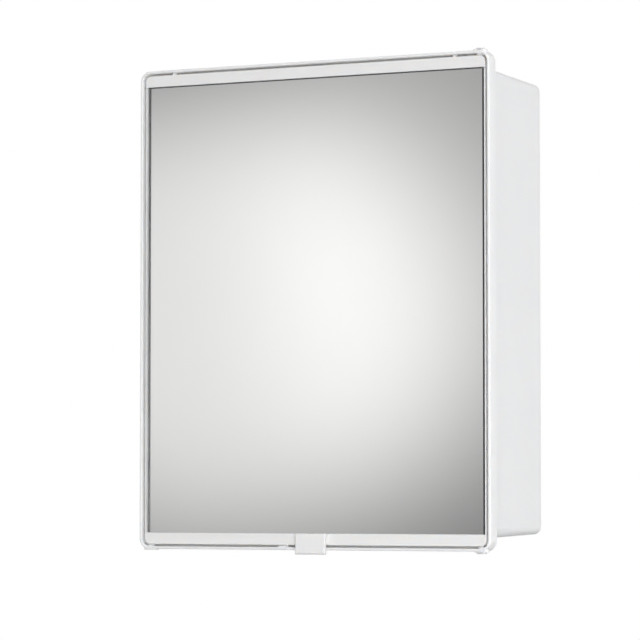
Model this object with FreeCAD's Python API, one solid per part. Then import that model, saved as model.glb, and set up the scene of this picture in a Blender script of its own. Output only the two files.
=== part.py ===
import FreeCAD, Part
import math
import os

# One-door bathroom mirror cabinet: a moulded plastic carcass, a mirror door on two pivot pins,
# two shelves and a magnetic catch. All sizes are in millimetres.
# Origin: centre of the flat back, on the wall. +X is right, +Y is into the wall, +Z is up.
# Depths are counted from the front edge of the rim towards the wall; from_front() turns one into Y.

# Overall size
cabinet_width = 318.0
cabinet_height = 400.0
cabinet_depth = 140.0

# Carcass: thin rim round the door, step behind it, drafted tub behind the step
rim_wall = 2.3
rim_corner_radius = 9.0
rim_edge_radius = 1.0
rim_back_radius = 0.8
step_wall = 2.6
tub_inset = 9.7
tub_wall = 2.4
tub_corner_radius = 6.5
tub_back_radius = 5.0
tub_draft = 1.1
back_wall = 3.0

# Door: two end rails, two side strips, glass, backing, tape and panel
door_side_gap = 2.0
door_end_gap = 1.8
door_recess = 1.4
door_edge_radius = 1.0
door_back_radius = 2.2
rail_height = 9.5
rail_cover = 2.6
rail_lip = 0.85
rail_rear_lip = 1.25
rail_guide_place = 128.0
rail_guide_width = 3.0
rail_guide_depth = 5.0
strip_lip = 0.8
strip_glass_gap = 1.8
strip_flare = 1.3
strip_grip = 3.8
glass_top_gap = 0.3
glass_thickness = 3.0
glass_arris = 0.15
backing_thickness = 0.25
tape_thickness = 0.8
tape_width = 22.0
tape_length = 330.0
tape_pitch = 92.0
tape_count = 3
panel_thickness = 2.2
panel_rib_width = 6.0
panel_rib_height = 0.8
panel_rib_margin = 26.0
panel_rib_corner = 12.0

# Snap nibs that hold the rails on the panel
nib_width = 8.0
nib_height = 1.2
nib_depth = 0.7
nib_inset = 1.0
nib_pitch = 100.0
nib_count = 3

# Hinge: pins through the rim into the rails, with a pad inside the rim and a boss outside it
hinge_edge = 5.0
hinge_setback = 3.2
pin_radius = 1.9
pin_head_radius = 4.2
pin_head_height = 1.1
pin_head_edge_radius = 0.65
pin_tip_chamfer = 0.5
hinge_boss_radius = 6.0
hinge_boss_height = 0.8
hinge_pad_radius = 3.2
bore_floor = 0.9

# Rest nub in the bottom of the rim, left of the handle
rest_nub_place = 26.0
rest_nub_width = 9.0
rest_nub_depth = 5.0

# Handle
handle_place = 1.6
handle_width = 26.8
handle_top_projection = 4.8
handle_foot_projection = 6.2
handle_drop = 3.5
handle_bevel = 1.4
handle_edge_radius = 0.7
handle_lip_gap = 0.7

# Screws
screw_shank_radius = 1.45
screw_head_radius = 2.7
screw_head_height = 1.5
screw_head_edge_radius = 0.75
screw_tip_chamfer = 0.85
screw_recess_length = 3.5
screw_recess_width = 0.8
screw_recess_depth = 0.7
handle_screw_pitch = 15.0
handle_screw_grip = 3.0
handle_screw_sink = 0.3

# Shelves on moulded ledges
shelf_upper_height = 62.0
shelf_lower_height = -62.0
shelf_thickness = 2.4
shelf_front = 30.0
shelf_lip_height = 12.0
shelf_lip_wall = 2.2
ledge_width = 5.0
ledge_thickness = 2.4
ledge_stop_length = 2.6
ledge_stop_height = 1.6

# Magnetic catch on the left wall, and its strike plate on the door
catch_height = 0.0
catch_pad_thickness = 5.0
catch_body_width = 10.0
catch_body_depth = 14.0
catch_body_length = 28.0
catch_lug_length = 9.0
catch_lug_thickness = 3.0
catch_lug_setback = 1.2
catch_edge_radius = 0.8
magnet_width = 4.0
magnet_depth = 9.0
pole_plate_thickness = 1.2
pole_plate_depth = 11.0
pole_plate_length = 22.0
pole_plate_stand_out = 0.9
catch_screw_grip = 6.0
strike_plate_width = 12.0
strike_plate_length = 44.0
strike_plate_thickness = 1.2
strike_plate_radius = 2.0
strike_screw_pitch = 36.0

# Soft buffers on the step, at the free edge of the door
buffer_radius = 3.2
buffer_thickness = 1.5
buffer_place = 165.0
buffer_edge_radius = 0.4

# Fixings in the back: slots above, round holes below
fixing_pitch = 230.0
slot_height = 150.0
slot_length = 12.0
fixing_hole_radius = 2.75
lower_hole_height = -150.0
fixing_pad_margin = 6.5
fixing_pad_thickness = 3.0

# Clearances
fit_gap = 0.05
loose_gap = 0.3
pin_running_gap = 0.05
shelf_side_gap = 0.4

# Largest share of a thickness that a rounding takes, on one edge of it or on both
one_edge_share = 0.9
both_edges_share = 0.45

# Two places closer than this count as one
same_place = 1e-4

# Widths and heights worked out from the sizes above
half_width = cabinet_width / 2
half_height = cabinet_height / 2
rim_inner_half_width = half_width - rim_wall
rim_inner_half_height = half_height - rim_wall
tub_inner_half_width = half_width - tub_inset - tub_wall
door_half_width = rim_inner_half_width - door_side_gap
door_half_height = rim_inner_half_height - door_end_gap
door_corner_radius = rim_corner_radius - rim_wall - door_end_gap
rail_inner_z = door_half_height - rail_height
panel_half_height = rail_inner_z + rail_cover
pane_top = rail_inner_z - glass_top_gap
pane_half_width = door_half_width - strip_lip - strip_glass_gap
panel_half_width = door_half_width - strip_lip - fit_gap
rail_slot_z = panel_half_height + loose_gap
hinge_x = door_half_width - hinge_edge
catch_face_x = catch_pad_thickness - tub_inner_half_width
catch_centre_x = catch_face_x + catch_body_width / 2
step_centre_x = (rim_inner_half_width + tub_inner_half_width) / 2

# Depths behind the front edge of the rim, in order
door_front = door_recess
glass_front = door_front + rail_lip + fit_gap
glass_back = glass_front + glass_thickness
backing_front = glass_back + fit_gap
backing_back = backing_front + backing_thickness
panel_front = backing_back + tape_thickness
panel_back = panel_front + panel_thickness
door_back = panel_back + fit_gap + rail_rear_lip
step_front = door_back + fit_gap + buffer_thickness
rim_depth = step_front + step_wall
hinge_depth = door_front + hinge_setback
strike_back = panel_back + strike_plate_thickness
pole_front = strike_back + loose_gap
catch_front = pole_front + pole_plate_stand_out

Vector = FreeCAD.Vector
along_x = Vector(1, 0, 0)
along_y = Vector(0, 1, 0)
along_z = Vector(0, 0, 1)


def from_front(depth):
    """Y of a depth counted from the front edge of the rim."""
    return depth - cabinet_depth


def block(x_range, depth_range, z_range):
    """Box between two X, two depths and two Z."""
    size = [high - low for low, high in (x_range, depth_range, z_range)]
    corner = Vector(x_range[0], from_front(depth_range[0]), z_range[0])
    return Part.makeBox(*size, corner)


def about(centre, length):
    """The two ends of a length that is centred on a place."""
    return (centre - length / 2, centre + length / 2)


def spread(count, pitch):
    """Places of a row of equal pitch, centred on zero."""
    return [(index - (count - 1) / 2) * pitch for index in range(count)]


def upright_cylinder(radius, x, depth, z_range):
    base = Vector(x, from_front(depth), z_range[0])
    return Part.makeCylinder(radius, z_range[1] - z_range[0], base, along_z)


def depth_cylinder(radius, x, z, depth_range):
    base = Vector(x, from_front(depth_range[0]), z)
    return Part.makeCylinder(radius, depth_range[1] - depth_range[0], base, along_y)


def side_cylinder(radius, depth, z, x_range):
    base = Vector(x_range[0], from_front(depth), z)
    return Part.makeCylinder(radius, x_range[1] - x_range[0], base, along_x)


def rounded_outline(half_w, half_h, radius, depth):
    """Closed wire of a rectangle with round corners, facing the front."""
    arcs = []
    for quarter, (side, end) in enumerate(((1, 1), (-1, 1), (-1, -1), (1, -1))):
        centre_x = side * (half_w - radius)
        centre_z = end * (half_h - radius)
        points = []
        for angle in (0, 45, 90):
            turn = math.radians(quarter * 90 + angle)
            x = centre_x + radius * math.cos(turn)
            z = centre_z + radius * math.sin(turn)
            points.append(Vector(x, from_front(depth), z))
        arcs.append(Part.Arc(*points).toShape())
    edges = []
    for arc, following in zip(arcs, arcs[1:] + arcs[:1]):
        edges.append(arc)
        edges.append(Part.makeLine(arc.Vertexes[-1].Point, following.Vertexes[0].Point))
    return Part.Wire(edges)


def rounded_plate(half_w, half_h, radius, depth_range):
    outline = rounded_outline(half_w, half_h, radius, depth_range[0])
    return Part.Face(outline).extrude(along_y * (depth_range[1] - depth_range[0]))


def edges_at_depth(shape, depth):
    """Edges that lie wholly in the plane at one depth."""
    y = from_front(depth)
    return [edge for edge in shape.Edges
            if abs(edge.BoundBox.YMin - y) < same_place and abs(edge.BoundBox.YMax - y) < same_place]


def edges_at_height(shape, z):
    """Edges that lie wholly in the plane at one height."""
    return [edge for edge in shape.Edges
            if abs(edge.BoundBox.ZMin - z) < same_place and abs(edge.BoundBox.ZMax - z) < same_place]


def upright_edges(shape, x, depth):
    """Edges that run along Z through one X and depth."""
    y = from_front(depth)
    return [edge for edge in shape.Edges
            if all(abs(v.X - x) < same_place and abs(v.Y - y) < same_place for v in edge.Vertexes)]


def mirrored_down(shape):
    return shape.mirror(Vector(0, 0, 0), along_z)


def mirrored_left(shape):
    return shape.mirror(Vector(0, 0, 0), along_x)


def draft_shift(depth):
    """How far the sides of the tub have drawn in between the step and a depth."""
    return (depth - step_front) * math.tan(math.radians(tub_draft))


def tub_solid(wall_inset, depth_range):
    """Drafted tub with a rounded back, its sides set in from the outside of the tub."""
    outlines = []
    for depth in depth_range:
        half_w = half_width - tub_inset - wall_inset - draft_shift(depth)
        half_h = half_height - tub_inset - wall_inset - draft_shift(depth)
        radius = tub_corner_radius - wall_inset + draft_shift(cabinet_depth) - draft_shift(depth)
        outlines.append(rounded_outline(half_w, half_h, radius, depth))
    solid = Part.makeLoft(outlines, True, True)
    back_radius = min(tub_back_radius - wall_inset, one_edge_share * (tub_corner_radius - wall_inset))
    return solid.makeFillet(back_radius, edges_at_depth(solid, depth_range[1]))


def rim():
    """Lip round the door with its step, rounded at the front edge and at the back."""
    outside = rounded_plate(half_width, half_height, rim_corner_radius, (0, rim_depth))
    inner_radius = rim_corner_radius - rim_wall
    pocket = rounded_plate(rim_inner_half_width, rim_inner_half_height, inner_radius, (0, step_front))
    shape = outside.cut(pocket)
    front_radius = min(rim_edge_radius, both_edges_share * rim_wall)
    shape = shape.makeFillet(front_radius, edges_at_depth(shape, 0))
    return shape.makeFillet(rim_back_radius, edges_at_depth(shape, rim_depth))


def hinge_seat():
    """Boss outside the rim, flat behind its front edge, and pad inside it, round the upper hinge pin."""
    z_boss = (rim_inner_half_height, half_height + hinge_boss_height)
    boss = upright_cylinder(hinge_boss_radius, hinge_x, hinge_depth, z_boss)
    boss = boss.common(block((-half_width, half_width), (rim_edge_radius / 2, rim_depth), z_boss))
    z_pad = (door_half_height + loose_gap, half_height)
    pad = upright_cylinder(hinge_pad_radius, hinge_x, hinge_depth, z_pad)
    return boss.fuse(pad)


def rest_nub():
    """Low nub on the rim floor that carries the free end of the closed door."""
    z_range = (-half_height + rim_wall / 2, -door_half_height - loose_gap)
    return block(about(-rest_nub_place, rest_nub_width), about(hinge_depth, rest_nub_depth), z_range)


def shelf_ledges(height):
    """Ledges for one shelf on both sides and the back, with a stop at the front of each side."""
    back = cabinet_depth - back_wall / 2
    z_range = (height - ledge_thickness, height)
    inner = tub_inner_half_width
    back_inner = inner - draft_shift(cabinet_depth - back_wall)
    stop_range = (shelf_front - loose_gap - ledge_stop_length, shelf_front - loose_gap)
    pieces = [block((-inner, inner), (cabinet_depth - back_wall - ledge_width, back), z_range)]
    for side in (1, -1):
        x_range = sorted((side * (back_inner - ledge_width), side * (inner + tub_wall)))
        pieces.append(block(x_range, (stop_range[0], back), z_range))
        pieces.append(block(x_range, stop_range, (z_range[0], height + ledge_stop_height)))
    return pieces[0].multiFuse(pieces[1:])


def catch_pad():
    """Raised pad on the left wall that the magnetic catch is screwed to."""
    x_range = (-half_width, catch_face_x)
    length = catch_body_length + 2 * catch_lug_length
    depth_range = (catch_front + catch_lug_setback, catch_front + catch_body_depth)
    return block(x_range, depth_range, about(catch_height, length))


def fixing_pads():
    """Thickened places inside the back, round the fixings."""
    pad_range = (cabinet_depth - back_wall - fixing_pad_thickness, cabinet_depth - back_wall / 2)
    pad_height = 2 * (fixing_hole_radius + fixing_pad_margin)
    pads = []
    for x in spread(2, fixing_pitch):
        pads.append(block(about(x, slot_length + 2 * fixing_pad_margin), pad_range,
                          about(slot_height, pad_height)))
        pads.append(depth_cylinder(pad_height / 2, x, lower_hole_height, pad_range))
    return pads


def fixing_cuts():
    """Level slots above and round holes below, right through the back."""
    cut_range = (cabinet_depth - back_wall - 2 * fixing_pad_thickness, cabinet_depth + back_wall)
    reach = slot_length / 2 - fixing_hole_radius
    cuts = []
    for x in spread(2, fixing_pitch):
        cuts.append(block((x - reach, x + reach), cut_range, about(slot_height, 2 * fixing_hole_radius)))
        for end in (x - reach, x + reach):
            cuts.append(depth_cylinder(fixing_hole_radius, end, slot_height, cut_range))
        cuts.append(depth_cylinder(fixing_hole_radius, x, lower_hole_height, cut_range))
    return cuts


def carcass():
    tub_outside = tub_solid(0, (step_front, cabinet_depth))
    tub_inside = tub_solid(tub_wall, (step_front, cabinet_depth - back_wall))
    shell = rim().fuse(tub_outside).cut(tub_inside)
    fittings = [shelf_ledges(shelf_upper_height), shelf_ledges(shelf_lower_height), catch_pad()]
    inside = [piece.common(tub_outside) for piece in fittings + fixing_pads()]
    seat = hinge_seat()
    seats = [seat, mirrored_down(seat), mirrored_left(mirrored_down(seat)), rest_nub()]
    shape = shell.multiFuse(inside + seats)
    pin_z = (door_half_height, half_height + 2 * hinge_boss_height)
    pin_hole = upright_cylinder(pin_radius + fit_gap, hinge_x, hinge_depth, pin_z)
    cuts = fixing_cuts() + [pin_hole, mirrored_down(pin_hole)]
    for z in catch_screw_heights():
        pilot_x = (catch_face_x - catch_screw_grip - loose_gap, catch_face_x)
        cuts.append(side_cylinder(screw_shank_radius + fit_gap, catch_middle_depth(), z, pilot_x))
    return shape.cut(cuts).removeSplitter()


def hinge_pin():
    """Upper pivot pin: flat head on the boss, shank through the rim into the rail."""
    z_head = half_height + hinge_boss_height
    z_tip = rail_slot_z + bore_floor + loose_gap
    head = upright_cylinder(pin_head_radius, hinge_x, hinge_depth, (z_head, z_head + pin_head_height))
    head_radius = min(pin_head_edge_radius, one_edge_share * pin_head_height)
    head = head.makeFillet(head_radius, edges_at_height(head, z_head + pin_head_height))
    shank = upright_cylinder(pin_radius, hinge_x, hinge_depth, (z_tip, z_head))
    shank = shank.makeChamfer(pin_tip_chamfer, edges_at_height(shank, z_tip))
    return head.fuse(shank).removeSplitter()


def end_rail():
    """Upper end rail: rounded bar with a slot for glass and panel, and a bore for the pin."""
    bar = rounded_plate(door_half_width, door_half_height, door_corner_radius, (door_front, door_back))
    above = block((-half_width, half_width), (door_front, door_back), (rail_inner_z, half_height))
    bar = bar.common(above)
    front_radius = min(door_edge_radius, one_edge_share * rail_lip)
    bar = bar.makeFillet(front_radius, edges_at_depth(bar, door_front))
    outer_edges = [edge for edge in edges_at_depth(bar, door_back)
                   if edge.BoundBox.ZMax > rail_inner_z + fit_gap]
    bar = bar.makeFillet(door_back_radius, outer_edges)
    slot_half = door_half_width - strip_lip
    slot = block((-slot_half, slot_half), (glass_front - fit_gap, panel_back + fit_gap),
                 (rail_inner_z - loose_gap, rail_slot_z))
    bore = upright_cylinder(pin_radius + pin_running_gap, hinge_x, hinge_depth,
                            (rail_slot_z + bore_floor, half_height))
    windows = [nib_window(x) for x in spread(nib_count, nib_pitch)]
    return bar.cut([slot, bore] + windows)


def nib_middle():
    """Height of the middle of the upper snap nibs."""
    return panel_half_height - nib_inset - nib_height / 2


def snap_nib(x):
    """Nib on the back of the panel, near its upper edge."""
    return block(about(x, nib_width), (panel_back, panel_back + nib_depth), about(nib_middle(), nib_height))


def nib_window(x):
    """Opening through the back of the rail that a nib snaps into."""
    return block(about(x, nib_width + loose_gap), (panel_back, door_back + loose_gap),
                 about(nib_middle(), nib_height + loose_gap))


def top_rail():
    """Upper rail with two small guide nubs in the gap above it."""
    guides = []
    for side in (1, -1):
        guides.append(block(about(side * rail_guide_place, rail_guide_width),
                            about(hinge_depth, rail_guide_depth),
                            (door_half_height - door_edge_radius, rim_inner_half_height - loose_gap)))
    return end_rail().multiFuse(guides)


def bottom_rail():
    """Lower rail with counterbored holes for the handle screws."""
    cuts = []
    for x in handle_screw_places():
        cuts.append(depth_cylinder(screw_shank_radius + fit_gap, x, handle_screw_z(),
                                   (door_front - loose_gap, door_back)))
        cuts.append(depth_cylinder(screw_head_radius + loose_gap / 2, x, handle_screw_z(),
                                   (handle_screw_seat(), door_back + loose_gap)))
    return mirrored_down(end_rail()).cut(cuts)


def side_strip():
    """Right-hand channel: it grips the edge of the panel and flares open round the edge of the glass."""
    outer = door_half_width
    wall = outer - strip_lip
    grip = wall - strip_grip
    rear = panel_back + fit_gap
    front_rib = (backing_back + fit_gap, panel_front - fit_gap)
    profile = [(outer, door_front), (outer, door_back), (grip, door_back), (grip, rear),
               (wall, rear), (wall, front_rib[1]), (grip, front_rib[1]), (grip, front_rib[0]),
               (wall - strip_flare, front_rib[0]), (wall, door_front)]
    z_low = -rail_inner_z + fit_gap
    points = [Vector(x, from_front(depth), z_low) for x, depth in profile]
    strip = Part.Face(Part.makePolygon(points + points[:1])).extrude(along_z * (-2 * z_low))
    front_radius = min(door_edge_radius, one_edge_share * strip_lip)
    strip = strip.makeFillet(front_radius, upright_edges(strip, outer, door_front))
    return strip.makeFillet(door_back_radius, upright_edges(strip, outer, door_back))


def pane(depth_range):
    """Sheet the size of the mirror: it stands in the bottom rail and ends just below the top rail."""
    return block((-pane_half_width, pane_half_width), depth_range, (-panel_half_height, pane_top))


def mirror_glass():
    glass = pane((glass_front, glass_back))
    return glass.makeChamfer(glass_arris, edges_at_depth(glass, glass_front))


def mirror_tape():
    strips = [block(about(x, tape_width), (backing_back, panel_front), about(0, tape_length))
              for x in spread(tape_count, tape_pitch)]
    return Part.makeCompound(strips)


def door_panel():
    """Back of the door: flat sheet, snap nibs at both ends and a raised frame that stiffens it."""
    sheet = block((-panel_half_width, panel_half_width), (panel_front, panel_back),
                  (-panel_half_height, panel_half_height))
    frame_range = (panel_back - fit_gap, panel_back + panel_rib_height)
    frame_x = panel_half_width - strip_grip - panel_rib_margin
    frame_z = rail_inner_z - panel_rib_margin
    frame = rounded_plate(frame_x, frame_z, panel_rib_corner, frame_range)
    window = rounded_plate(frame_x - panel_rib_width, frame_z - panel_rib_width,
                           panel_rib_corner - panel_rib_width, frame_range)
    nibs = [snap_nib(x) for x in spread(nib_count, nib_pitch)]
    nibs += [mirrored_down(nib) for nib in nibs]
    pilots = [depth_cylinder(screw_shank_radius + fit_gap, catch_centre_x, z, (panel_front, panel_back))
              for z in strike_screw_heights()]
    return sheet.multiFuse(nibs + [frame.cut(window)]).cut(pilots)


def handle_screw_places():
    """X of the handle screws."""
    return [handle_place + x for x in spread(2, handle_screw_pitch)]


def handle_screw_z():
    """Height of the handle screws: the middle of the solid part of the bottom rail."""
    return -(rail_slot_z + door_half_height) / 2


def handle_screw_seat():
    """Depth at which the heads of the handle screws seat, sunk into the back of the rail."""
    return door_back - screw_head_height - handle_screw_sink


def door_handle():
    """Wedge-shaped tab on the bottom rail, bevelled at the foot; it hangs in front of the rim."""
    top = -rail_inner_z
    foot = -half_height - handle_drop
    heel = -door_half_height + door_edge_radius
    front_top = door_front - handle_top_projection
    front_foot = door_front - handle_foot_projection
    profile = [(door_front, top), (front_top, top), (front_foot, foot + handle_bevel),
               (front_foot + handle_bevel, foot), (-handle_lip_gap, foot),
               (-handle_lip_gap, heel), (door_front, heel)]
    left = handle_place - handle_width / 2
    points = [Vector(left, from_front(depth), z) for depth, z in profile]
    tab = Part.Face(Part.makePolygon(points + points[:1])).extrude(along_x * handle_width)
    corners = [edge for edge in tab.Edges if is_foot_corner(edge, foot)]
    tab = tab.makeFillet(handle_edge_radius, corners)
    front = max(tab.Faces, key=lambda face: face.Area)
    tab = tab.makeFillet(handle_edge_radius, front.Edges)
    pilots = [depth_cylinder(screw_shank_radius + fit_gap, x, handle_screw_z(),
                             (door_front - handle_screw_grip - loose_gap, door_front))
              for x in handle_screw_places()]
    return tab.cut(pilots)


def is_foot_corner(edge, foot):
    """True for the two short edges of the handle's foot that run front to back."""
    box = edge.BoundBox
    return box.ZMax < foot + same_place and box.XLength < same_place


def screw(length):
    """Pan-head screw along +Z: seat of the head at zero, shank below it, cross recess on top."""
    head = Part.makeCylinder(screw_head_radius, screw_head_height)
    head = head.makeFillet(screw_head_edge_radius, edges_at_height(head, screw_head_height))
    shank = Part.makeCylinder(screw_shank_radius, length, Vector(0, 0, -length))
    shank = shank.makeChamfer(screw_tip_chamfer, edges_at_height(shank, -length))
    recess_base = screw_head_height - screw_recess_depth
    cuts = []
    arm_sizes = ((screw_recess_length, screw_recess_width), (screw_recess_width, screw_recess_length))
    for size_x, size_y in arm_sizes:
        corner = Vector(-size_x / 2, -size_y / 2, recess_base)
        cuts.append(Part.makeBox(size_x, size_y, screw_recess_depth, corner))
    return head.fuse(shank).cut(cuts).removeSplitter()


def placed_screws(length, seats, direction):
    """Copies of one screw with their heads facing a direction."""
    turn = FreeCAD.Rotation(along_z, direction)
    copies = []
    for seat in seats:
        copy = screw(length)
        copy.Placement = FreeCAD.Placement(seat, turn)
        copies.append(copy)
    return Part.makeCompound(copies)


def handle_screws():
    seats = [Vector(x, from_front(handle_screw_seat()), handle_screw_z())
             for x in handle_screw_places()]
    return placed_screws(handle_screw_seat() - door_front + handle_screw_grip, seats, along_y)


def shelf(height):
    """Shelf with an upstand along its front, shaped to the drafted tub."""
    room = tub_solid(tub_wall + shelf_side_gap, (step_front, cabinet_depth - back_wall - shelf_side_gap))
    plate = block((-half_width, half_width), (shelf_front, cabinet_depth),
                  (height, height + shelf_thickness))
    upstand = block((-half_width, half_width), (shelf_front, shelf_front + shelf_lip_wall),
                    (height, height + shelf_lip_height))
    lip_radius = both_edges_share * shelf_lip_wall
    upstand = upstand.makeFillet(lip_radius, edges_at_height(upstand, height + shelf_lip_height))
    return plate.fuse(upstand).common(room).removeSplitter()


def catch_middle_depth():
    """Depth of the middle of the catch's lugs."""
    return catch_front + (catch_lug_setback + catch_body_depth) / 2


def catch_screw_heights():
    reach = (catch_body_length + catch_lug_length) / 2
    return [catch_height - reach, catch_height + reach]


def catch_housing():
    """Body with a pocket for magnet and pole plates, and a screw lug at each end."""
    x_body = (catch_face_x, catch_face_x + catch_body_width)
    depths = (catch_front, catch_front + catch_body_depth)
    body = block(x_body, depths, about(catch_height, catch_body_length))
    outer_edges = [edge for edge in body.Edges if edge.BoundBox.XMin > catch_face_x + catch_edge_radius]
    body = body.makeFillet(catch_edge_radius, outer_edges)
    lugs = block((catch_face_x, catch_face_x + catch_lug_thickness),
                 (catch_front + catch_lug_setback, depths[1]),
                 about(catch_height, catch_body_length + 2 * catch_lug_length))
    cuts = [pocket_block(magnet_width + 2 * pole_plate_thickness, fit_gap)]
    for z in catch_screw_heights():
        cuts.append(side_cylinder(screw_shank_radius + fit_gap, catch_middle_depth(), z,
                                  (catch_face_x, catch_face_x + catch_lug_thickness)))
    return body.fuse(lugs).cut(cuts).removeSplitter()


def pocket_block(width, growth):
    """Space of the magnet and its plates inside the housing."""
    return block(about(catch_centre_x, width + 2 * growth),
                 (catch_front, pole_front + pole_plate_depth),
                 about(catch_height, pole_plate_length + 2 * growth))


def catch_magnet():
    back = pole_front + pole_plate_depth
    return block(about(catch_centre_x, magnet_width), (back - magnet_depth, back),
                 about(catch_height, pole_plate_length))


def catch_pole_plates():
    plates = []
    for side in (1, -1):
        centre = catch_centre_x + side * (magnet_width + pole_plate_thickness) / 2
        plates.append(block(about(centre, pole_plate_thickness),
                            (pole_front, pole_front + pole_plate_depth),
                            about(catch_height, pole_plate_length)))
    return Part.makeCompound(plates)


def catch_screws():
    seats = [Vector(catch_face_x + catch_lug_thickness, from_front(catch_middle_depth()), z)
             for z in catch_screw_heights()]
    return placed_screws(catch_lug_thickness + catch_screw_grip, seats, along_x)


def strike_screw_heights():
    return [catch_height + z for z in spread(2, strike_screw_pitch)]


def strike_plate():
    plate = rounded_plate(strike_plate_width / 2, strike_plate_length / 2, strike_plate_radius,
                          (panel_back, strike_back))
    plate.translate(Vector(catch_centre_x, 0, catch_height))
    holes = [depth_cylinder(screw_shank_radius + fit_gap, catch_centre_x, z, (panel_back, strike_back))
             for z in strike_screw_heights()]
    return plate.cut(holes)


def strike_screws():
    seats = [Vector(catch_centre_x, from_front(strike_back), z) for z in strike_screw_heights()]
    return placed_screws(strike_plate_thickness + panel_thickness, seats, along_y)


def door_buffers():
    pads = []
    for z in (buffer_place, -buffer_place):
        pad = depth_cylinder(buffer_radius, -step_centre_x, z, (step_front - buffer_thickness, step_front))
        pads.append(pad.makeFillet(buffer_edge_radius,
                                   edges_at_depth(pad, step_front - buffer_thickness)))
    return Part.makeCompound(pads)


def build():
    upper_pin = hinge_pin()
    right_strip = side_strip()
    return {
        "carcass": carcass(),
        "shelf_upper": shelf(shelf_upper_height),
        "shelf_lower": shelf(shelf_lower_height),
        "hinge_pin_upper": upper_pin,
        "hinge_pin_lower": mirrored_down(upper_pin),
        "catch_housing": catch_housing(),
        "catch_magnet": catch_magnet(),
        "catch_pole_plates": catch_pole_plates(),
        "catch_screws": catch_screws(),
        "door_buffers": door_buffers(),
        "top_rail": top_rail(),
        "bottom_rail": bottom_rail(),
        "side_strip_right": right_strip,
        "side_strip_left": mirrored_left(right_strip),
        "mirror_glass": mirror_glass(),
        "mirror_backing": pane((backing_front, backing_back)),
        "mirror_tape": mirror_tape(),
        "door_panel": door_panel(),
        "door_handle": door_handle(),
        "handle_screws": handle_screws(),
        "strike_plate": strike_plate(),
        "strike_screws": strike_screws(),
    }


os.makedirs("parts", exist_ok=True)
for node, shape in build().items():
    solids = len(shape.Solids)
    print(f"{node}: {solids} solid(s), valid {shape.isValid()}, {shape.Volume / 1000:.2f} cm3")
    shape.exportStep(f"parts/{node}.step")
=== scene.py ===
import bpy
import math
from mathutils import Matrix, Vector


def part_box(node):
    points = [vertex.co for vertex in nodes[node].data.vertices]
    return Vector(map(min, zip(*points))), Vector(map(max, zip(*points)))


# Bathroom mirror cabinet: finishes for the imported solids, and a plain white studio round them.
# Everything is in metres, in the frame of the part: +X right, +Y into the wall, +Z up.

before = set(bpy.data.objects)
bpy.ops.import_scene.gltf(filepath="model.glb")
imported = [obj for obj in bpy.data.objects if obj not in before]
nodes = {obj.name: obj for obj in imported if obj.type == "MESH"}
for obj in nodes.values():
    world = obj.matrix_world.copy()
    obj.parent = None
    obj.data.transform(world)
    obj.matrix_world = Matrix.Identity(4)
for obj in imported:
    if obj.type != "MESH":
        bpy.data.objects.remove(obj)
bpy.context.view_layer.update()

# Camera, at the photograph's viewing angle
camera_turn = math.radians(26.084)
camera_tilt = math.radians(3.057)
camera_distance = 2.621
camera_target = Vector((0.0089, -0.140, 0.0))
camera_height = -0.1528
camera_lens = 181.27
camera_sensor = 36.0

# Studio: what each kind of ray sees round the cabinet, and the floor
background_white = 1.0
ambient_light = 0.56
reflected_low = 0.40
reflected_high = 0.95
reflected_axis = (0.35, -0.5, 0.79)
floor_height = -0.95
floor_size = 14.0
floor_albedo = 0.40
floor_glow = 0.75
floor_mirror_glow = 0.15

# Soft lamps, each with its place, size and power: from the front right, the right and above
lamp_aim = Vector((0.0, -0.1, 0.0))
key_lamp = (Vector((1.22, -2.12, -0.50)), 1.4, 37.0)
side_lamp = (Vector((3.0, 0.2, -0.2)), 1.5, 24.0)
top_lamp = (Vector((0.3, -0.3, 2.2)), 2.0, 4.0)

# Soft pools of light on a card in front of the mirror; only mirrors and glass see it
card_distance = 3.0
card_half_size = 2.4
card_fade = 1.25
card_fade_sharpness = 2.0
card_spot = Vector((0.02, -0.1347, -0.012))
pool_base = 0.172
# Each pool: its middle on the card, its spread both ways, how sharply it ends, and its strength
pools = (((0.195, 0.006), (0.48, 0.417), 2.02, 0.633),
         ((-0.184, 0.143), (0.328, 0.496), 1.64, 0.261))

# Colours of the mouldings and the mirror
carcass_colour = (0.955, 0.952, 0.948)
shelf_colour = (0.87, 0.866, 0.856)
door_colour = (0.905, 0.901, 0.896)
strip_colour = (0.960, 0.957, 0.953)
panel_colour = (0.84, 0.834, 0.824)
catch_colour = (0.72, 0.715, 0.70)
silver_dark = (0.937, 0.932, 0.927)
silver_light = (0.945, 0.940, 0.935)
# Dark border of the glass: partly its lacquered edge, partly painted shade of the grooves beside the
# glass
border_paint_and_shade = (0.09, 0.09, 0.092)
backing_paint = (0.33, 0.35, 0.37)
clear_glass = (0.996, 0.996, 0.994)

# Colours of the fittings
sheet_colour = (0.68, 0.68, 0.69)
screw_colour = (0.72, 0.71, 0.69)
ferrite_dark = (0.03, 0.03, 0.032)
ferrite_light = (0.075, 0.073, 0.072)
foam_dark = (0.62, 0.62, 0.60)
foam_light = (0.80, 0.80, 0.78)
rubber_dark = (0.42, 0.42, 0.41)
rubber_light = (0.52, 0.52, 0.51)

# How strongly plastic and glass bend light
plastic_index = 1.49
glass_index = 1.52

# Share of its colour that a finish keeps where it is darkest
plastic_dark_share = 0.985
steel_dark_share = 0.86
paint_dark_share = 0.9

# How far roughness strays to either side, and the depth of the finest relief
plastic_rough_spread = 0.03
steel_rough_spread = 0.08
fine_relief = 0.00002

# How much light soaks into the white plastic, which colours go deeper, and how far
plastic_depth_share = 0.8
plastic_depth_colour = (1.0, 0.93, 0.85)
carcass_depth = 0.0040
strip_depth = 0.0030
door_depth = 0.0008

# Roughness of the lacquered border of the glass and of the paint behind the silver
lacquer_roughness = 0.5
paint_roughness = 0.55

# Width of the ground and lacquered border of the glass, whose dark colour is partly painted shade, and
# the depth of a skin on a face
border_width = 0.00017
skin_depth = 0.00002


def node_of(tree, kind, **settings):
    node = tree.nodes.new(kind)
    for name, value in settings.items():
        setattr(node, name, value)
    return node


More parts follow.
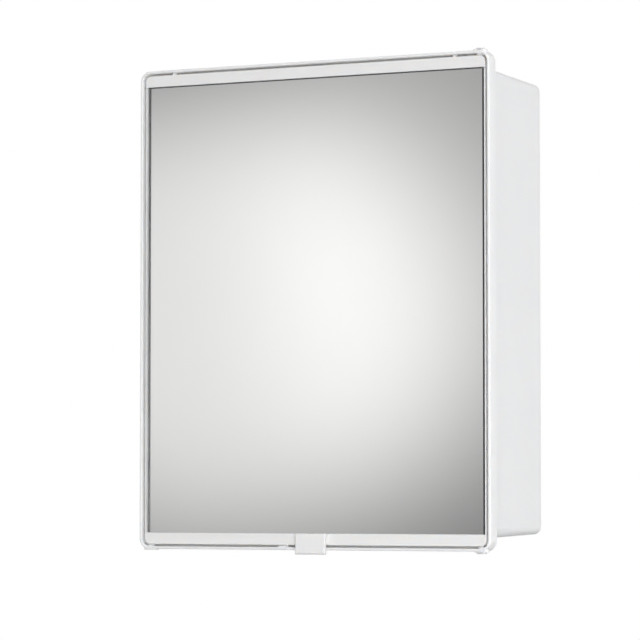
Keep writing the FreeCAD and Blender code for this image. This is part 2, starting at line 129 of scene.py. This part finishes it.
def new_material(name):
    """Empty node material with its output; returns the material and its tree."""
    material = bpy.data.materials.new(name)
    material.use_nodes = True
    tree = material.node_tree
    tree.nodes.clear()
    node_of(tree, "ShaderNodeOutputMaterial")
    return material, tree


def output_of(tree):
    return next(node for node in tree.nodes if node.type in ("OUTPUT_MATERIAL", "OUTPUT_WORLD"))


def new_surface(name):
    """Material with one surface shader; returns the material, its tree and the shader."""
    material, tree = new_material(name)
    shader = node_of(tree, "ShaderNodeBsdfPrincipled")
    tree.links.new(shader.outputs["BSDF"], output_of(tree).inputs["Surface"])
    return material, tree, shader


def object_place(tree):
    """Place on the piece in metres, which moves with it."""
    return node_of(tree, "ShaderNodeTexCoord").outputs["Object"]


def stretched(tree, place, scale):
    """The same place, drawn out or squeezed along each axis."""
    mapping = node_of(tree, "ShaderNodeMapping")
    mapping.inputs["Scale"].default_value = scale
    tree.links.new(place, mapping.inputs["Vector"])
    return mapping.outputs["Vector"]


def noise(tree, place, scale, detail=2.0):
    texture = node_of(tree, "ShaderNodeTexNoise")
    texture.inputs["Scale"].default_value = scale
    texture.inputs["Detail"].default_value = detail
    tree.links.new(place, texture.inputs["Vector"])
    return texture.outputs["Fac"]


def cells(tree, place, scale):
    """Distance to the middle of the nearest of many small cells."""
    texture = node_of(tree, "ShaderNodeTexVoronoi")
    texture.inputs["Scale"].default_value = scale
    tree.links.new(place, texture.inputs["Vector"])
    return texture.outputs["Distance"]


def computed(tree, operation, *values):
    """Result of one piece of arithmetic on sockets and plain numbers."""
    sum_node = node_of(tree, "ShaderNodeMath", operation=operation)
    for socket, value in zip(sum_node.inputs, values):
        if isinstance(value, (int, float)):
            socket.default_value = value
        else:
            tree.links.new(value, socket)
    return sum_node.outputs["Value"]


def between(tree, factor, low, high, start=0.3, end=0.7):
    """Number that runs from low to high as a factor runs from start to end."""
    spread = node_of(tree, "ShaderNodeMapRange")
    spread.inputs["From Min"].default_value = start
    spread.inputs["From Max"].default_value = end
    spread.inputs["To Min"].default_value = low
    spread.inputs["To Max"].default_value = high
    tree.links.new(factor, spread.inputs["Value"])
    return spread.outputs["Result"]


def mixed(tree, factor, low, high):
    """Colour between two, each a plain colour or a socket."""
    mix = node_of(tree, "ShaderNodeMix", data_type="RGBA")
    tree.links.new(factor, mix.inputs["Factor"])
    for name, colour in (("A", low), ("B", high)):
        if isinstance(colour, tuple):
            mix.inputs[name].default_value = (*colour, 1)
        else:
            tree.links.new(colour, mix.inputs[name])
    return mix.outputs["Result"]


def shaded(colour, share):
    """A colour made darker or lighter by one share."""
    return tuple(share * channel for channel in colour)


def bumped(tree, shader, height, strength, distance):
    bump = node_of(tree, "ShaderNodeBump")
    bump.inputs["Strength"].default_value = strength
    bump.inputs["Distance"].default_value = distance
    tree.links.new(height, bump.inputs["Height"])
    tree.links.new(bump.outputs["Normal"], shader.inputs["Normal"])


def moulded_plastic(name, colour, roughness, grain_scale, grain, depth):
    """White moulding: faint drift of tone, uneven sheen and the fine grain of the tool."""
    material, tree, shader = new_surface(name)
    place = object_place(tree)
    drift = between(tree, noise(tree, place, scale=9.0, detail=3.0), 0, 1)
    tone = mixed(tree, drift, shaded(colour, plastic_dark_share), colour)
    tree.links.new(tone, shader.inputs["Base Color"])
    uneven = noise(tree, place, scale=45.0, detail=4.0)
    sheen = between(tree, uneven, roughness - plastic_rough_spread, roughness + plastic_rough_spread)
    tree.links.new(sheen, shader.inputs["Roughness"])
    bumped(tree, shader, noise(tree, place, grain_scale), strength=grain, distance=fine_relief)
    shader.inputs["IOR"].default_value = plastic_index
    shader.inputs["Subsurface Weight"].default_value = plastic_depth_share
    shader.inputs["Subsurface Radius"].default_value = plastic_depth_colour
    shader.inputs["Subsurface Scale"].default_value = depth
    return material


def plated_steel(name, colour, roughness, line_squeeze):
    """Zinc-plated steel: fine lines, drawn out where the squeeze is small, and a faint mottle."""
    material, tree, shader = new_surface(name)
    place = object_place(tree)
    lines = noise(tree, stretched(tree, place, line_squeeze), scale=60.0, detail=5.0)
    mottle = noise(tree, place, scale=160.0, detail=3.0)
    blend = between(tree, computed(tree, "MULTIPLY", lines, mottle), 0, 1, start=0.12, end=0.4)
    tone = mixed(tree, blend, shaded(colour, steel_dark_share), colour)
    tree.links.new(tone, shader.inputs["Base Color"])
    sheen = between(tree, lines, roughness - steel_rough_spread, roughness + steel_rough_spread)
    tree.links.new(sheen, shader.inputs["Roughness"])
    bumped(tree, shader, lines, strength=0.15, distance=fine_relief)
    shader.inputs["Metallic"].default_value = 1.0
    return material


def ferrite():
    """Pressed magnet: nearly black, with a fine grey speckle."""
    material, tree, shader = new_surface("ferrite_block")
    place = object_place(tree)
    speckle = between(tree, noise(tree, place, scale=1800.0, detail=3.0), 0, 1, start=0.45, end=0.7)
    tree.links.new(mixed(tree, speckle, ferrite_dark, ferrite_light), shader.inputs["Base Color"])
    roughness = between(tree, speckle, low=0.5, high=0.72, start=0, end=1)
    tree.links.new(roughness, shader.inputs["Roughness"])
    bumped(tree, shader, noise(tree, place, scale=1200.0), strength=0.25, distance=0.00005)
    return material


def foam_tape():
    """White foam: small open cells on a matt sheet."""
    material, tree, shader = new_surface("foam_strip")
    place = object_place(tree)
    pores = cells(tree, place, scale=1500.0)
    blend = between(tree, pores, 0, 1, start=0.1, end=0.6)
    tree.links.new(mixed(tree, blend, foam_dark, foam_light), shader.inputs["Base Color"])
    roughness = between(tree, pores, low=0.75, high=0.92, start=0.1, end=0.6)
    tree.links.new(roughness, shader.inputs["Roughness"])
    bumped(tree, shader, pores, strength=0.4, distance=0.0001)
    return material


def buffer_rubber():
    """Soft grey pad with a bloom on it."""
    material, tree, shader = new_surface("soft_rubber")
    place = object_place(tree)
    bloom = noise(tree, place, scale=500.0, detail=4.0)
    tone = mixed(tree, between(tree, bloom, 0, 1), rubber_dark, rubber_light)
    tree.links.new(tone, shader.inputs["Base Color"])
    tree.links.new(between(tree, bloom, low=0.55, high=0.7), shader.inputs["Roughness"])
    return material


def axis_parts(tree, place):
    parts = node_of(tree, "ShaderNodeSeparateXYZ")
    tree.links.new(place, parts.inputs["Vector"])
    return parts.outputs


def outside(tree, value, low, high):
    """1 where a value is under the low limit or over the high one, else 0."""
    under = computed(tree, "LESS_THAN", value, low)
    over = computed(tree, "GREATER_THAN", value, high)
    return computed(tree, "MAXIMUM", under, over)


def silvered(tree, place):
    """Colour of the silver coat, with a very faint drift."""
    drift = between(tree, noise(tree, place, scale=14.0), 0, 1)
    return mixed(tree, drift, silver_dark, silver_light)


def mirror_pane():
    """Float glass, silvered on its back face, with a ground and lacquered border whose dark colour is
    partly painted shade of the grooves along the glass.
    """
    material, tree, shader = new_surface("mirror_pane")
    place = object_place(tree)
    low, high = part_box("mirror_glass")
    parts = axis_parts(tree, place)
    across = outside(tree, parts["X"], low.x + border_width, high.x - border_width)
    upward = outside(tree, parts["Z"], low.z + border_width, high.z - border_width)
    border = computed(tree, "MAXIMUM", across, upward)
    back = computed(tree, "GREATER_THAN", parts["Y"], high.y - skin_depth)
    coat = computed(tree, "MULTIPLY", back, computed(tree, "SUBTRACT", 1.0, border))
    clear = computed(tree, "SUBTRACT", 1.0, computed(tree, "MAXIMUM", border, coat))
    face = mixed(tree, coat, clear_glass, silvered(tree, place))
    # The border's dark colour is partly the lacquered edge of the glass and partly painted shade of the
    # grooves beside it
    tree.links.new(mixed(tree, border, face, border_paint_and_shade), shader.inputs["Base Color"])
    tree.links.new(coat, shader.inputs["Metallic"])
    tree.links.new(clear, shader.inputs["Transmission Weight"])
    tree.links.new(computed(tree, "MULTIPLY", border, lacquer_roughness), shader.inputs["Roughness"])
    shader.inputs["IOR"].default_value = glass_index
    return material


def mirror_backing():
    """Silver towards the glass, grey protective paint on the other sides."""
    material, tree, shader = new_surface("painted_silver")
    place = object_place(tree)
    depth = axis_parts(tree, place)["Y"]
    front = computed(tree, "LESS_THAN", depth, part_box("mirror_backing")[0].y + skin_depth)
    brushed = between(tree, noise(tree, place, scale=120.0, detail=4.0), 0, 1)
    coat = mixed(tree, brushed, shaded(backing_paint, paint_dark_share), backing_paint)
    tree.links.new(mixed(tree, front, coat, silvered(tree, place)), shader.inputs["Base Color"])
    tree.links.new(front, shader.inputs["Metallic"])
    roughness = computed(tree, "MULTIPLY_ADD", front, -paint_roughness, paint_roughness)
    tree.links.new(roughness, shader.inputs["Roughness"])
    return material


def paint(material, *names):
    for name in names:
        mesh = nodes[name].data
        mesh.materials.clear()
        mesh.materials.append(material)


def paint_mouldings():
    paint(moulded_plastic("carcass_white", carcass_colour, roughness=0.36, grain_scale=2600.0, grain=0.12,
                          depth=carcass_depth), "carcass")
    paint(moulded_plastic("shelf_white", shelf_colour, roughness=0.35, grain_scale=2600.0, grain=0.08,
                          depth=door_depth), "shelf_upper", "shelf_lower")
    paint(moulded_plastic("door_white", door_colour, roughness=0.32, grain_scale=2600.0, grain=0.08,
                          depth=door_depth), "top_rail", "bottom_rail", "door_handle")
    paint(moulded_plastic("strip_white", strip_colour, roughness=0.32, grain_scale=2600.0, grain=0.08,
                          depth=strip_depth), "side_strip_left", "side_strip_right")
    paint(moulded_plastic("panel_white", panel_colour, roughness=0.50, grain_scale=1100.0, grain=0.35,
                          depth=door_depth), "door_panel")
    paint(moulded_plastic("pin_white", carcass_colour, roughness=0.42, grain_scale=2000.0, grain=0.10,
                          depth=carcass_depth), "hinge_pin_upper", "hinge_pin_lower")
    paint(moulded_plastic("catch_white", catch_colour, roughness=0.45, grain_scale=1600.0, grain=0.20,
                          depth=door_depth), "catch_housing")


def paint_fittings():
    paint(plated_steel("plated_sheet", sheet_colour, roughness=0.37, line_squeeze=(4.0, 4.0, 0.2)),
          "strike_plate", "catch_pole_plates")
    paint(plated_steel("plated_screw", screw_colour, roughness=0.37, line_squeeze=(6.0, 6.0, 6.0)),
          "handle_screws", "catch_screws", "strike_screws")
    paint(ferrite(), "catch_magnet")
    paint(foam_tape(), "mirror_tape")
    paint(buffer_rubber(), "door_buffers")
    paint(mirror_backing(), "mirror_backing")
    paint(mirror_pane(), "mirror_glass")


def ray_kinds(tree):
    """Two switches: 1 for rays from the camera, and 1 for rays that mirrors and glass send out."""
    path = node_of(tree, "ShaderNodeLightPath")
    sent = computed(tree, "MAXIMUM", path.outputs["Is Glossy Ray"], path.outputs["Is Transmission Ray"])
    return path.outputs["Is Camera Ray"], sent


def switched(tree, switch, off, on):
    """One of two numbers, chosen by a switch of 0 or 1."""
    choice = node_of(tree, "ShaderNodeMix", data_type="FLOAT")
    tree.links.new(switch, choice.inputs["Factor"])
    for name, value in (("A", off), ("B", on)):
        if isinstance(value, (int, float)):
            choice.inputs[name].default_value = value
        else:
            tree.links.new(value, choice.inputs[name])
    return choice.outputs["Result"]


def add_world():
    """White to the camera, an even light on the piece and a soft slope of grey in mirrors."""
    world = bpy.data.worlds.new("studio")
    world.use_nodes = True
    tree = world.node_tree
    tree.nodes.clear()
    output = node_of(tree, "ShaderNodeOutputWorld")
    background = node_of(tree, "ShaderNodeBackground")
    slope = node_of(tree, "ShaderNodeVectorMath", operation="DOT_PRODUCT")
    slope.inputs[1].default_value = reflected_axis
    direction = node_of(tree, "ShaderNodeTexCoord").outputs["Generated"]
    tree.links.new(direction, slope.inputs[0])
    grey = between(tree, slope.outputs["Value"], reflected_low, reflected_high, start=-1, end=1)
    from_camera, from_mirror = ray_kinds(tree)
    strength = switched(tree, from_mirror, ambient_light, grey)
    strength = switched(tree, from_camera, strength, background_white)
    tree.links.new(strength, background.inputs["Strength"])
    tree.links.new(background.outputs["Background"], output.inputs["Surface"])
    background.inputs["Color"].default_value = (1, 1, 1, 1)
    bpy.context.scene.world = world


def plane(name, half_size):
    corners = [(-half_size, -half_size, 0), (half_size, -half_size, 0),
               (half_size, half_size, 0), (-half_size, half_size, 0)]
    mesh = bpy.data.meshes.new(name)
    mesh.from_pydata(corners, [], [(0, 1, 2, 3)])
    sheet = bpy.data.objects.new(name, mesh)
    bpy.context.scene.collection.objects.link(sheet)
    return sheet


def add_floor():
    """Pale floor far below: it keeps its shadow, the camera sees it as white and mirrors as pale."""
    floor = plane("floor", floor_size / 2)
    floor.location = (0, 0, floor_height)
    material, tree = new_material("floor")
    matt = node_of(tree, "ShaderNodeBsdfDiffuse")
    matt.inputs["Color"].default_value = (floor_albedo, floor_albedo, floor_albedo, 1)
    glow = node_of(tree, "ShaderNodeEmission")
    from_camera, from_mirror = ray_kinds(tree)
    strength = switched(tree, from_mirror, 0.0, floor_mirror_glow)
    strength = switched(tree, from_camera, strength, floor_glow)
    tree.links.new(strength, glow.inputs["Strength"])
    both = node_of(tree, "ShaderNodeAddShader")
    tree.links.new(matt.outputs["BSDF"], both.inputs[0])
    tree.links.new(glow.outputs["Emission"], both.inputs[1])
    tree.links.new(both.outputs["Shader"], output_of(tree).inputs["Surface"])
    floor.data.materials.append(material)


def pool_distance(tree, place, centre, spread):
    """Squared distance from the middle of a pool of light, in units of its spread."""
    shift = node_of(tree, "ShaderNodeMapping", vector_type="TEXTURE")
    shift.inputs["Location"].default_value = (*centre, 0)
    shift.inputs["Scale"].default_value = (*spread, 1)
    tree.links.new(place, shift.inputs["Vector"])
    square = node_of(tree, "ShaderNodeVectorMath", operation="DOT_PRODUCT")
    tree.links.new(shift.outputs["Vector"], square.inputs[0])
    tree.links.new(shift.outputs["Vector"], square.inputs[1])
    return square.outputs["Value"]


def falling(tree, distance):
    """1 at no distance, falling smoothly to 0."""
    return computed(tree, "POWER", math.exp(-1), distance)


def add_card():
    """Card with soft pools of light, where the mirror faces as the camera sees it; its rim is clear."""
    away = Vector((-math.sin(camera_turn), -math.cos(camera_turn), math.sin(camera_tilt))).normalized()
    card = plane("light_card", card_half_size)
    card.location = card_spot + card_distance * away
    card.rotation_mode = "QUATERNION"
    card.rotation_quaternion = (-away).to_track_quat("Z", "Y")
    material, tree = new_material("light_card")
    place = object_place(tree)
    level = pool_base
    for centre, spread, sharpness, strength in pools:
        near = pool_distance(tree, place, centre, spread)
        pool = falling(tree, computed(tree, "POWER", near, sharpness))
        level = computed(tree, "MULTIPLY_ADD", pool, strength, level)
    glow = node_of(tree, "ShaderNodeEmission")
    tree.links.new(level, glow.inputs["Strength"])
    clear = node_of(tree, "ShaderNodeBsdfTransparent")
    cover = node_of(tree, "ShaderNodeMixShader")
    fade = pool_distance(tree, place, (0, 0), (card_fade, card_fade))
    solid_share = falling(tree, computed(tree, "POWER", fade, card_fade_sharpness))
    tree.links.new(solid_share, cover.inputs["Fac"])
    tree.links.new(clear.outputs["BSDF"], cover.inputs[1])
    tree.links.new(glow.outputs["Emission"], cover.inputs[2])
    tree.links.new(cover.outputs["Shader"], output_of(tree).inputs["Surface"])
    card.data.materials.append(material)
    card.visible_camera = False
    card.visible_diffuse = False
    card.visible_shadow = False


def add_camera():
    data = bpy.data.cameras.new("camera")
    data.lens = camera_lens
    data.sensor_width = camera_sensor
    camera = bpy.data.objects.new("camera", data)
    bpy.context.scene.collection.objects.link(camera)
    back = Vector((math.sin(camera_turn), -math.cos(camera_turn), 0))
    camera.location = camera_target + camera_distance * back + Vector((0, 0, camera_height))
    camera.rotation_euler = (math.pi / 2 + camera_tilt, 0, camera_turn)
    bpy.context.scene.camera = camera


def add_lamp(name, place, size, energy):
    data = bpy.data.lights.new(name, "AREA")
    data.shape = "SQUARE"
    data.size = size
    data.energy = energy
    lamp = bpy.data.objects.new(name, data)
    bpy.context.scene.collection.objects.link(lamp)
    lamp.location = place
    lamp.rotation_mode = "QUATERNION"
    lamp.rotation_quaternion = (place - lamp_aim).to_track_quat("Z", "Y")


paint_mouldings()
paint_fittings()
add_world()
add_floor()
add_card()
add_camera()
add_lamp("key_lamp", *key_lamp)
add_lamp("side_lamp", *side_lamp)
add_lamp("top_lamp", *top_lamp)
bpy.context.scene.view_settings.view_transform = "Standard"
